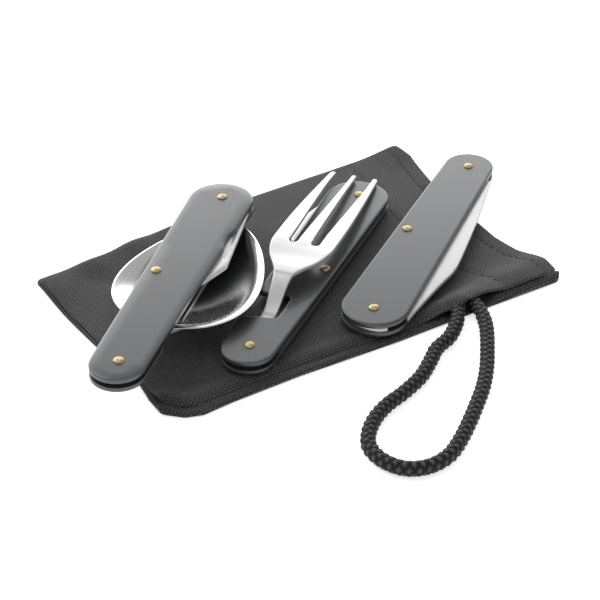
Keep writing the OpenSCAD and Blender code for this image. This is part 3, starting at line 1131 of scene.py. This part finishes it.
@dataclass
class Fork(FoldingTool):
    """The fork, closed over its handle, with a cap opener at the butt."""

    rest: float = 2.0
    head_z: float = 9.1
    half_w: float = 9.8
    reach: float = 96.2
    slot_r: float = 1.375
    sway: float = 1.1
    crank: Point = (17.5, 31.0)
    droop_from: float = 46.0
    droop: float = 3.0
    dish: float = 0.3
    marks_at: float = 17.6
    fold_at: float = 46.2

    def plan(self) -> list[Point]:
        """Plan of tang, neck, head and three tines.

        Returns:
            The plan's points.
        """
        w, tip = self.half_w, self.reach

        def flank(side: int) -> list[Point]:
            """The outer edge of the head on one side, from the neck to the tine's tip.

            Args:
                side: 1 or -1.

            Returns:
                The edge's points.
            """
            pts = (
                bend((16, 2), (28, 2.1), (31, 3.2), 9)
                + bend((31, 3.2), (34, 4.6), (37, 6.6), 7)[1:]
                + bend((37, 6.6), (41.5, w - 0.6), (47, w), 11)[1:]
                + [(56, w), (63, 9.7), (71, 9.4), (79, 9), (87, 8.5), (tip - 1.2, 7.95),
                   (tip - 0.3, 7.7), (tip, 7.2), (tip, 6.75), (tip - 0.35, 6.3)]
            )
            return [(x, side * y + self.sway) for x, y in pts]

        def slot(side: int) -> list[Point]:
            """The slot from the outer tine's inner edge round to the middle tine.

            Args:
                side: 1 or -1.

            Returns:
                The edge's points.
            """
            pts = (
                [(88, 6.4), (80, 6.1), (70, 5.7), (60, 5.25), (54, 5.0)]
                + arc(48.6, 3.52, self.slot_r, 90, 270, 12)
                + [(65, 1.5), (76, 1.15), (87, 0.82), (tip - 0.7, 0.68), (tip - 0.1, 0.42)]
            )
            return [(x, side * y + self.sway) for x, y in pts]

        tang = arc(0, 0, TANG_R, 66, 294, 26)
        right, left = flank(-1) + slot(-1), flank(1) + slot(1)
        return tang + [(7, -2.6)] + right + left[::-1] + [(7, 3.8)]

    def mid_height(self, p: np.ndarray) -> np.ndarray:
        """Height of the middle of the sheet, cranked up at the neck and drooping to the tips.

        Args:
            p: points.

        Returns:
            Heights.
        """
        x = p[:, 0]
        base = self.steel_z + self.steel / 2
        start, stop = self.crank
        rise = (self.head_z - base) * smoothstep((x - start) / (stop - start))
        droop = self.droop * np.clip((x - self.droop_from) / 43, 0, None) ** 1.15
        dish = self.dish * smoothstep((x - 33) / 8) * smoothstep((56 - x) / 12)
        return base + rise - droop - dish * (1 - ((p[:, 1] - self.sway) / self.half_w) ** 2)

    def head(self) -> None:
        """Builds the fork's steel in one piece."""
        place = self.place @ Matrix.Rotation(math.radians(self.rest), 4, "Z")
        half = self.steel / 2

        def press(p: np.ndarray) -> np.ndarray:
            """Small die marks across the foot of the neck and the head's fold.

            Args:
                p: points.

            Returns:
                Depths.
            """
            x, y = p[:, 0], p[:, 1]
            row = np.exp(-(((x - self.marks_at) / 0.28) ** 2))
            fold = np.exp(-(((x - self.fold_at) / 0.5) ** 2))
            return 0.14 * row * (0.5 + 0.5 * np.cos(y * 2 * math.pi / 1.15)) + 0.06 * fold

        plate = Plate(
            resampled(self.plan(), 0.55), lambda p: self.mid_height(p) + half - press(p),
            lambda p: self.mid_height(p) - half, (0.3, 0.16), STEEL_ROLL, 0.95,
        )
        self.add(plate.build("fork_head_steel", place), "fork_head", Look.STEEL, "fork_head")

    def opener(self) -> None:
        """Builds the hooked opener that lies under the tines."""
        plan = rounded(
            [(89, -4.6), (89, 4.6), (85, 8.4), (82.4, 9.8), (73.6, 12.1), (60, 11.8),
             (57, 10.6), (55.8, 8), (56.4, 5.4), (60, 5), (61.4, 3.4), (60.6, 0.6),
             (63, -1.6), (70, -2.6), (82, -3.2)],
            1.2,
        )
        heights = (level(self.steel_z + self.steel), level(self.steel_z))
        plate = Plate(resampled(plan, 0.6), *heights, (0.5, 0.35), (0.2, 0.15), 1.6)
        opener = plate.build("fork_opener_steel", self.place)
        self.add(opener, "fork_opener", Look.STEEL, "fork_opener")

    def build(self) -> None:
        """Builds the whole fork."""
        self.scale_piece("fork_upper_scale_plate", "fork_top_scale", True, self.notched())
        self.scale_piece("fork_lower_scale_plate", "fork_bottom_scale", False, self.outline())
        self.spring_piece("fork_spring_bar", "fork_back_spring", DOUBLE_SPRING)
        self.head()
        self.opener()
        self.rivets(["pivot", "spring", "opener"])


@dataclass
class Spoon(FoldingTool):
    """The spoon, turned over so that its bowl lies under the handle."""

    lower_roll: Point = (0.62, 0.4)
    rest: float = 3.3
    half_l: float = 29.0
    half_w: float = 20.8
    depth: float = 8.0
    wall: float = 1.0
    centre: float = 53.1
    rim_z: float = 5.4
    bowl_power: float = 2.2
    lip_power: float = 10.2
    lip_weight: float = 13.96
    nick: tuple[Point, Point] = ((57.5, 10.9), (72.5, 9.3))

    def hollow(self, s: float) -> float:
        """Share of the bowl's depth at a share of the way to the flared rim."""
        a, b, w = self.bowl_power, self.lip_power, self.lip_weight
        return 1 - (s**a / a - s**b / w) / (1 / a - 1 / w)

    def bowl_ring(self, a: float, b: float, depth: float, s: float, up: float = 0.0) -> np.ndarray:
        """One ring of the bowl, an egg in plan.

        Args:
            a: half length.
            b: half width.
            depth: depth of the surface.
            s: share of the way from the middle to the rim.
            up: extra height.

        Returns:
            The ring's points.
        """
        t = np.arange(144) * 2 * math.pi / 144
        x = self.centre + a * s * np.cos(t) * (1 + 0.042 * s * np.cos(t))
        y = b * s * np.sin(t) * (1 - 0.245 * s * np.cos(t))
        z = np.full(len(t), self.rim_z + depth * self.hollow(s) + up)
        return np.c_[x, y, z]

    def bowl(self) -> None:
        """Builds the bowl as a closed shell with a rolled lip, and its neck."""
        place = self.place @ Matrix.Rotation(math.radians(self.rest), 4, "Z")
        a, b, d, w = self.half_l, self.half_w, self.depth, self.wall
        shares = np.sin(np.linspace(0.03, 1, 34) * math.pi / 2)
        outer = [self.bowl_ring(a, b, d, s) for s in shares[:-1]]
        inner = [self.bowl_ring(a - w, b - w, d - w, s) for s in shares[:-1]]
        lip = [
            self.bowl_ring(a - 0.02, b - 0.02, d, 1.0, 0.28),
            self.bowl_ring(a, b, d, 1.0, 0.1),
            self.bowl_ring(a - 0.2, b - 0.2, d, 1.0, 0.0),
            self.bowl_ring(a - 0.75, b - 0.75, d, 1.0, 0.0),
            self.bowl_ring(a - w, b - w, d, 1.0, 0.12),
        ]
        obj = rings_object("spoon_bowl_steel", outer + lip + inner[::-1], place, 75.0)
        self.add(obj, "spoon_bowl", Look.MIRROR, "spoon_bowl")
        half = self.steel / 2
        base = self.steel_z + half

        def mid(p: np.ndarray) -> np.ndarray:
            """Height of the middle of the cranked neck."""
            return base + (self.rim_z + 1.3 - base) * smoothstep((p[:, 0] - 16.5) / 9.5)

        plan = (
            arc(0, 0, TANG_R, 66, 294, 26)
            + [(7, -3), (16, -2.2), (22, -2.6), (25.5, -4.4), (28.5, -6.5), (28.5, 6.5),
               (25.5, 4.4), (22, 2.6), (16, 2.2), (7, 3)]
        )
        neck = Plate(
            resampled(plan, 0.7), lambda p: mid(p) + half, lambda p: mid(p) - half,
            STEEL_ROLL, STEEL_ROLL, 1.2,
        )
        self.add(neck.build("spoon_neck_steel", place), "spoon_bowl", Look.STEEL, "spoon_bowl")

    def opener(self) -> None:
        """Builds the long can opener with its nail nick and ground edge."""
        plan = rounded(
            [(89, -4.6), (89, 4.6), (86, 8.2), (84.4, 9.7), (54.4, 12.6), (53.4, 12.3),
             (44, 8.6), (42.6, 6.4), (44.4, 3.6), (50, 0.4), (58, -1.6), (70, -2.4),
             (82, -3.2)],
            0.8,
        )
        z0, t = self.steel_z, self.steel

        def nick(p: np.ndarray) -> np.ndarray:
            """Depth of the nail nick."""
            return 0.26 * smoothstep((0.62 - line_distance(p, self.nick)) / 0.4)

        plate = Plate(
            resampled(plan, 0.4), level(z0 + t), lambda p: z0 + nick(p), (0.2, 0.12),
            (0.6, 0.32), 0.36,
        )
        opener = plate.build("spoon_opener_steel", self.place)
        self.add(opener, "spoon_opener", Look.STEEL, "spoon_opener")

    def scalloped(self) -> list[Point]:
        """Cuts the shallow nail scallop into the plan's opening side.

        Returns:
            The scalloped plan.
        """
        cx, cy, r = 65.3, self.far_r + 14.75, 16.0
        out = []
        for x, y in resampled(self.outline(), 0.9):
            d = math.hypot(x - cx, y - cy)
            if d < r:
                y = cy - math.sqrt(max(r * r - (x - cx) ** 2, 0))
            out.append((x, y))
        return out

    def build(self) -> None:
        """Builds the whole spoon."""
        self.scale_piece("spoon_lower_scale_plate", "spoon_lower_scale", True, self.notched())
        self.scale_piece("spoon_upper_scale_plate", "spoon_upper_scale", False, self.scalloped())
        self.spring_piece("spoon_spring_bar", "spoon_back_spring", DOUBLE_SPRING)
        self.bowl()
        self.opener()
        self.rivets(["pivot", "spring", "opener"])


# ---------------------------------------------------------------- pouch


@dataclass
class Pouch:
    """Two panels of black plain weave sewn on three sides, with a casing at the mouth.

    A point of the ridge is a place and how far the drawn mouth stands up there. A corner is
    a place, how wide its curl is and how far it stands off the table.
    """

    plan: list[Point] = field(
        default_factory=lambda: [
            (-26, -55.4), (-31, -56.6), (-37.5, -55.2), (-41.3, -49), (-45, -41), (-58.3, -24),
            (-78.4, 4),
            (-78.4, 6), (-45.5, 35.5), (-16.2, 58), (0, 68.8), (32.3, 89.6), (37.4, 83.2),
            (43.2, 67), (55, 44), (61, 33), (67, 25.6), (75, 19.4), (78.6, 12.5),
            (77.8, 9.3), (54.4, -5), (28.7, -21.4), (0, -38), (-18, -49.6),
        ]
    )
    mouth: list[Point] = field(
        default_factory=lambda: [
            (34.5, 87.5), (37.4, 83.2), (43.2, 67), (49, 55.2), (55, 44), (61, 33),
            (67, 25.6), (75, 19.4), (77.4, 15.2),
        ]
    )
    ridge: list[tuple[float, float, float]] = field(
        default_factory=lambda: [
            (76.5, 15.5, 1.0), (71.9, 16.5, 1.6), (66.3, 11.2, 2.1), (58.3, 5.3, 2.0),
            (53.2, -0.6, 3.3), (47.5, -5.3, 3.7), (40.6, -12.0, 1.9), (34.0, -16.5, 0.3),
        ]
    )
    cloth: float = 0.62
    cut: Point = (0.0925, 0.1405)
    cut_area: float = 0.01171
    stitch_rows: Point = (5.0, 21.0)
    inward: Point = (-0.839, -0.545)
    corners: list[tuple[float, float, float, float]] = field(
        default_factory=lambda: [
            (-78.4, 5.0, 13.0, 2.6), (32.3, 89.6, 10.0, 1.3), (-65, 18.5, 8.0, 1.5),
            (-53, 29, 8.0, 1.7), (-60, 8, 5.0, -0.5), (-41, 40, 7.0, 0.9),
        ]
    )
    near_edge: list[Point] = field(
        default_factory=lambda: [
            (-37.5, -55.2), (-31, -56.6), (-26, -55.4), (-18, -49.6), (0, -38), (28.7, -21.4),
            (44, -11.6),
        ]
    )

    def ridge_height(self, p: np.ndarray) -> np.ndarray:
        """Height that the drawn mouth stands up over the flat panel.

        Args:
            p: points.

        Returns:
            Extra heights.
        """
        best = np.full(len(p), FAR)
        high, side = np.zeros(len(p)), np.zeros(len(p))
        for a, b in zip(self.ridge, self.ridge[1:]):
            pa, d = np.array(a[:2]), np.array(b[:2]) - np.array(a[:2])
            t = np.clip(((p - pa) @ d) / float(d @ d), 0, 1)
            gap = p - (pa + t[:, None] * d)
            dist = np.linalg.norm(gap, axis=1)
            nearer = dist < best
            best = np.where(nearer, dist, best)
            high = np.where(nearer, a[2] + (b[2] - a[2]) * t, high)
            cross = d[0] * gap[:, 1] - d[1] * gap[:, 0]
            side = np.where(nearer, np.sign(cross), side)
        wide = np.where(side > 0, 4.6 + 6.0 * smoothstep((p[:, 0] - 42) / 8), 6.0)
        return high * np.exp(-((best / wide) ** 2))

    def shifted_mouth(self, depth: float) -> list[Point]:
        """The mouth's edge moved into the pouch."""
        along_x, along_y = self.inward
        return [(x + along_x * depth, y + along_y * depth) for x, y in self.mouth]

    def upper_loop(self) -> np.ndarray:
        """Plan of the upper cloth, drawn in at the seams and at the casing's near end.

        Returns:
            The plan, anticlockwise.
        """
        plan = [
            (-27.6, -52.6), (-35.8, -52.8), (-39.8, -48.4), (-44.1, -40.4), (-57.3, -23.4),
            (-77.3, 4.2), (-77.2, 5.7), (-44.8, 34.7), (-15.6, 57.1), (0.6, 67.9),
            (32.3, 89.2), (37.2, 83.1), (43.2, 67), (55, 44), (61, 33), (67, 25.6),
            (74.8, 19.4), (77.4, 13.6), (76.4, 11.0), (62.4, 2.4), (53.4, -3.2), (47.4, -8.4),
            (42.4, -10.4), (27.2, -18.9), (-1.4, -35.5), (-19.2, -47.0),
        ]
        return resampled(rounded(plan, 1.8, 30.0), 1.1)

    def upper(self, p: np.ndarray) -> np.ndarray:
        """Height of the upper panel's outer face.

        Args:
            p: points.

        Returns:
            Heights.
        """
        broad = np.array([noise.noise(Vector((x / 16, y / 16, 4.2))) for x, y in p])
        small = np.array([noise.noise(Vector((x / 6, y / 6, 9.7))) for x, y in p])
        z = 1.46 + 0.1 * broad + 0.05 * small
        for depth in self.stitch_rows:
            gap = line_distance(p, self.shifted_mouth(depth))
            z -= 0.2 * np.exp(-((gap / 0.8) ** 2))
        edge = line_distance(p, self.near_edge)
        z += 0.8 * np.exp(-(((edge - 6.4) / 2.4) ** 2)) * smoothstep((50 - p[:, 0]) / 12)
        z -= 0.55 * np.exp(-(((edge - 2.6) / 1.4) ** 2)) * smoothstep((50 - p[:, 0]) / 8)
        return z + self.ridge_height(p) + self.corner_lift(p)

    def corner_lift(self, p: np.ndarray) -> np.ndarray:
        """How far the cloth's free corners stand off the table.

        Args:
            p: points.

        Returns:
            Extra heights.
        """
        out = np.zeros(len(p))
        for x, y, wide, high in self.corners:
            out += high * np.exp(-(((p[:, 0] - x) ** 2 + (p[:, 1] - y) ** 2) / wide**2))
        return out

    def lower(self, p: np.ndarray) -> np.ndarray:
        """Height of the lower panel's top, puffed along the casing's near end.

        Args:
            p: points.

        Returns:
            Heights.
        """
        edge = line_distance(p, [(57.5, -3.1), (77.8, 9.3)])
        puff = np.exp(-(((edge - 2.3) / 2.1) ** 2)) * smoothstep((p[:, 0] - 54.5) / 3)
        lip = line_distance(p, self.near_edge)
        roll = np.exp(-(((lip - 1.5) / 1.1) ** 2)) * smoothstep((46 - p[:, 0]) / 6)
        rest = 0.78 + 1.6 * puff + 0.85 * roll
        return rest + self.corner_lift(p)

    def build_panels(self, look: bpy.types.Material) -> None:
        """Builds the upper and the lower panel.

        Args:
            look: the woven finish.
        """
        loop = resampled(rounded(self.plan, 3.2, 20.0), 1.1)
        top = Plate(
            self.upper_loop(), self.upper, lambda p: self.upper(p) - self.cloth, (0.9, 0.38),
            (0.4, 0.1), 1.4, 60.0,
        ).build("pouch_upper_cloth", Matrix.Identity(4))
        low = Plate(
            loop, self.lower, lambda p: 0.03 + self.corner_lift(p), (0.5, 0.3),
            (0.6, 0.35), 1.8, 60.0,
        ).build("pouch_lower_cloth", Matrix.Identity(4))
        upper_nodes = ("pouch_upper_panel", "casing_upper_hem", "near_side_seam", "far_side_seam")
        dress(top, look, "pouch", Slot.FABRIC, *upper_nodes)
        dress(low, look, "pouch", Slot.FABRIC, "pouch_lower_panel", "casing_lower_hem")
        stitches = [self.stitching(depth, look) for depth in self.stitch_rows]

    def stitching(self, depth: float, look: bpy.types.Material) -> bpy.types.Object:
        """Builds one row of thread stitches along the mouth.

        Args:
            depth: distance from the mouth's edge.
            look: the finish.

        Returns:
            The row as one piece.
        """
        line = np.array(self.shifted_mouth(depth))
        far = measure(line)
        heights = np.array([-0.18, 0.06, 0.12, 0.12, 0.06, -0.18])
        rings, sides, up = len(heights), 8, np.array([0, 0, 1])
        verts, faces = [], []
        for start in np.arange(1.5, far[-1] - 2.0, 2.5):
            at = np.linspace(start, start + 1.9, rings)
            mid = np.c_[np.interp(at, far, line[:, 0]), np.interp(at, far, line[:, 1])]
            z = self.upper(mid) + heights
            d = (mid[-1] - mid[0]) / np.linalg.norm(mid[-1] - mid[0])
            w = np.array([-d[1], d[0], 0])
            base = len(verts)
            for k in range(rings):
                for a in (j * 2 * math.pi / sides for j in range(sides)):
                    spoke = w * math.cos(a) + up * math.sin(a)
                    verts.append(np.array([*mid[k], z[k]]) + 0.17 * spoke)
            for low in range(base, base + (rings - 1) * sides, sides):
                for j in range(sides):
                    m = (j + 1) % sides
                    faces.append([low + j, low + m, low + sides + m, low + sides + j])
            faces.append([base + j for j in range(sides - 1, -1, -1)])
            faces.append([base + (rings - 1) * sides + j for j in range(sides)])
        name = f"hem_stitching_{int(depth)}mm"
        obj = new_object(name, np.array(verts), faces, Matrix.Identity(4))
        smooth(obj, 60.0)
        return dress(obj, look, "pouch", Slot.FABRIC)


# ---------------------------------------------------------------- setting


@dataclass(frozen=True)
class SoftBox:
    """One soft box of the studio: its place and size in metres and its power in watts."""

    name: str
    at: Sequence[float]
    size: Point
    power: float

    def build(self) -> None:
        """Adds the light, facing the set."""
        data = bpy.data.lights.new(self.name, "AREA")
        data.shape, data.energy = "RECTANGLE", self.power
        data.size, data.size_y = self.size
        obj = bpy.data.objects.new(self.name, data)
        obj.location = self.at
        obj.rotation_euler = (-Vector(self.at)).to_track_quat("-Z", "Y").to_euler()
        bpy.context.scene.collection.objects.link(obj)


@dataclass(frozen=True)
class Studio:
    """The camera, the table top, the soft boxes and the pale surroundings."""

    camera_at: Sequence[float] = (0, -0.420485, 0.289080)
    lens: float = 103.02
    table_half: float = 6.0
    table_z: float = -0.0002
    boxes: tuple[SoftBox, ...] = (
        SoftBox("back_panel", (-0.18, 0.62, 0.2), (1.3, 0.4), 4.2),
        SoftBox("key_box", (-0.6, 0.35, 0.9), (0.8, 0.6), 3.5),
        SoftBox("top_box", (0.1, 0.0, 1.0), (0.8, 0.8), 1.2),
        SoftBox("front_box", (0.5, -0.8, 0.6), (0.6, 0.6), 1.0),
    )
    bright_side: Sequence[float] = (-0.15, 1.0, -1.2)
    dim: float = 0.4
    fade: float = 0.32
    strength: float = 1.25

    def camera(self) -> None:
        """Adds the camera, looking down at the set from the front."""
        data = bpy.data.cameras.new("camera")
        data.lens, data.sensor_width = self.lens, 36.0
        data.clip_start, data.clip_end = 0.01, 50.0
        cam = bpy.data.objects.new("camera", data)
        cam.location = self.camera_at
        cam.rotation_euler = (-cam.location).to_track_quat("-Z", "Y").to_euler()
        bpy.context.scene.collection.objects.link(cam)
        bpy.context.scene.camera = cam

    def table(self) -> None:
        """Adds the table top."""
        h = self.table_half
        mesh = bpy.data.meshes.new("table")
        mesh.from_pydata([(-h, -h, 0), (h, -h, 0), (h, h, 0), (-h, h, 0)], [], [(0, 1, 2, 3)])
        mesh.materials.append(Floor().material())
        table = bpy.data.objects.new("table", mesh)
        table.location.z = self.table_z
        bpy.context.scene.collection.objects.link(table)

    def surroundings(self) -> None:
        """Adds a pale world, brighter behind and below than in front and above."""
        world = bpy.data.worlds.new("studio")
        bpy.context.scene.world = world
        world.use_nodes = True
        tree = world.node_tree
        where = tree.nodes.new("ShaderNodeTexCoord")
        toward = tree.nodes.new("ShaderNodeVectorMath")
        toward.operation = "DOT_PRODUCT"
        toward.inputs[1].default_value = self.bright_side
        tree.links.new(where.outputs["Generated"], toward.inputs[0])
        ramp = tree.nodes.new("ShaderNodeValToRGB")
        tree.links.new(toward.outputs["Value"], ramp.inputs[0])
        low, high = ramp.color_ramp.elements
        low.position, low.color = 0.0, (self.dim, self.dim, self.dim, 1)
        high.position, high.color = self.fade, (1.0, 1.0, 1.0, 1)
        tree.links.new(ramp.outputs[0], tree.nodes["Background"].inputs[0])
        tree.nodes["Background"].inputs[1].default_value = self.strength
        bpy.context.scene.view_settings.view_transform = "Standard"

    def build(self) -> None:
        """Adds everything round the set."""
        self.table()
        for box in self.boxes:
            box.build()
        self.surroundings()


def main() -> None:
    """Builds the set piece by piece, then the studio round it."""
    logging.basicConfig(level=logging.INFO, format="%(message)s")
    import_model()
    studio = Studio()
    studio.camera()
    Drawstring().build()
    knife = Knife(Tool.KNIFE, (55.1, 67.6, 2.3), 247.4)
    fork = Fork(Tool.FORK, (-14.1, -32.0, 2.3), 68.1)
    spoon = Spoon(Tool.SPOON, (-48.5, -51.4, 15.7), 73.8, True)
    spring = Steel("ground_spring_steel", 0.0, 0.4, (0.25, 0.35), 0.05, 1.0)
    mirror = Steel("spoon_mirror_steel", -spoon.turn, 0.72, (0.15, 0.2), 0.0, 1.0)
    shared = {
        Look.SCALE: SatinBlack().material(),
        Look.BRASS: Brass().material(),
        Look.SPRING: spring.material(),
        Look.MIRROR: mirror.material(),
    }
    for maker in (knife, fork, spoon):
        brushed = Steel(f"{maker.tool.value}_brushed_steel", -maker.turn)
        maker.looks = {**shared, Look.STEEL: brushed.material()}
        maker.build()
    Pouch().build_panels(Woven("black_plain_weave", -33.0).material())
    studio.build()


if __name__ == "__main__":
    main()
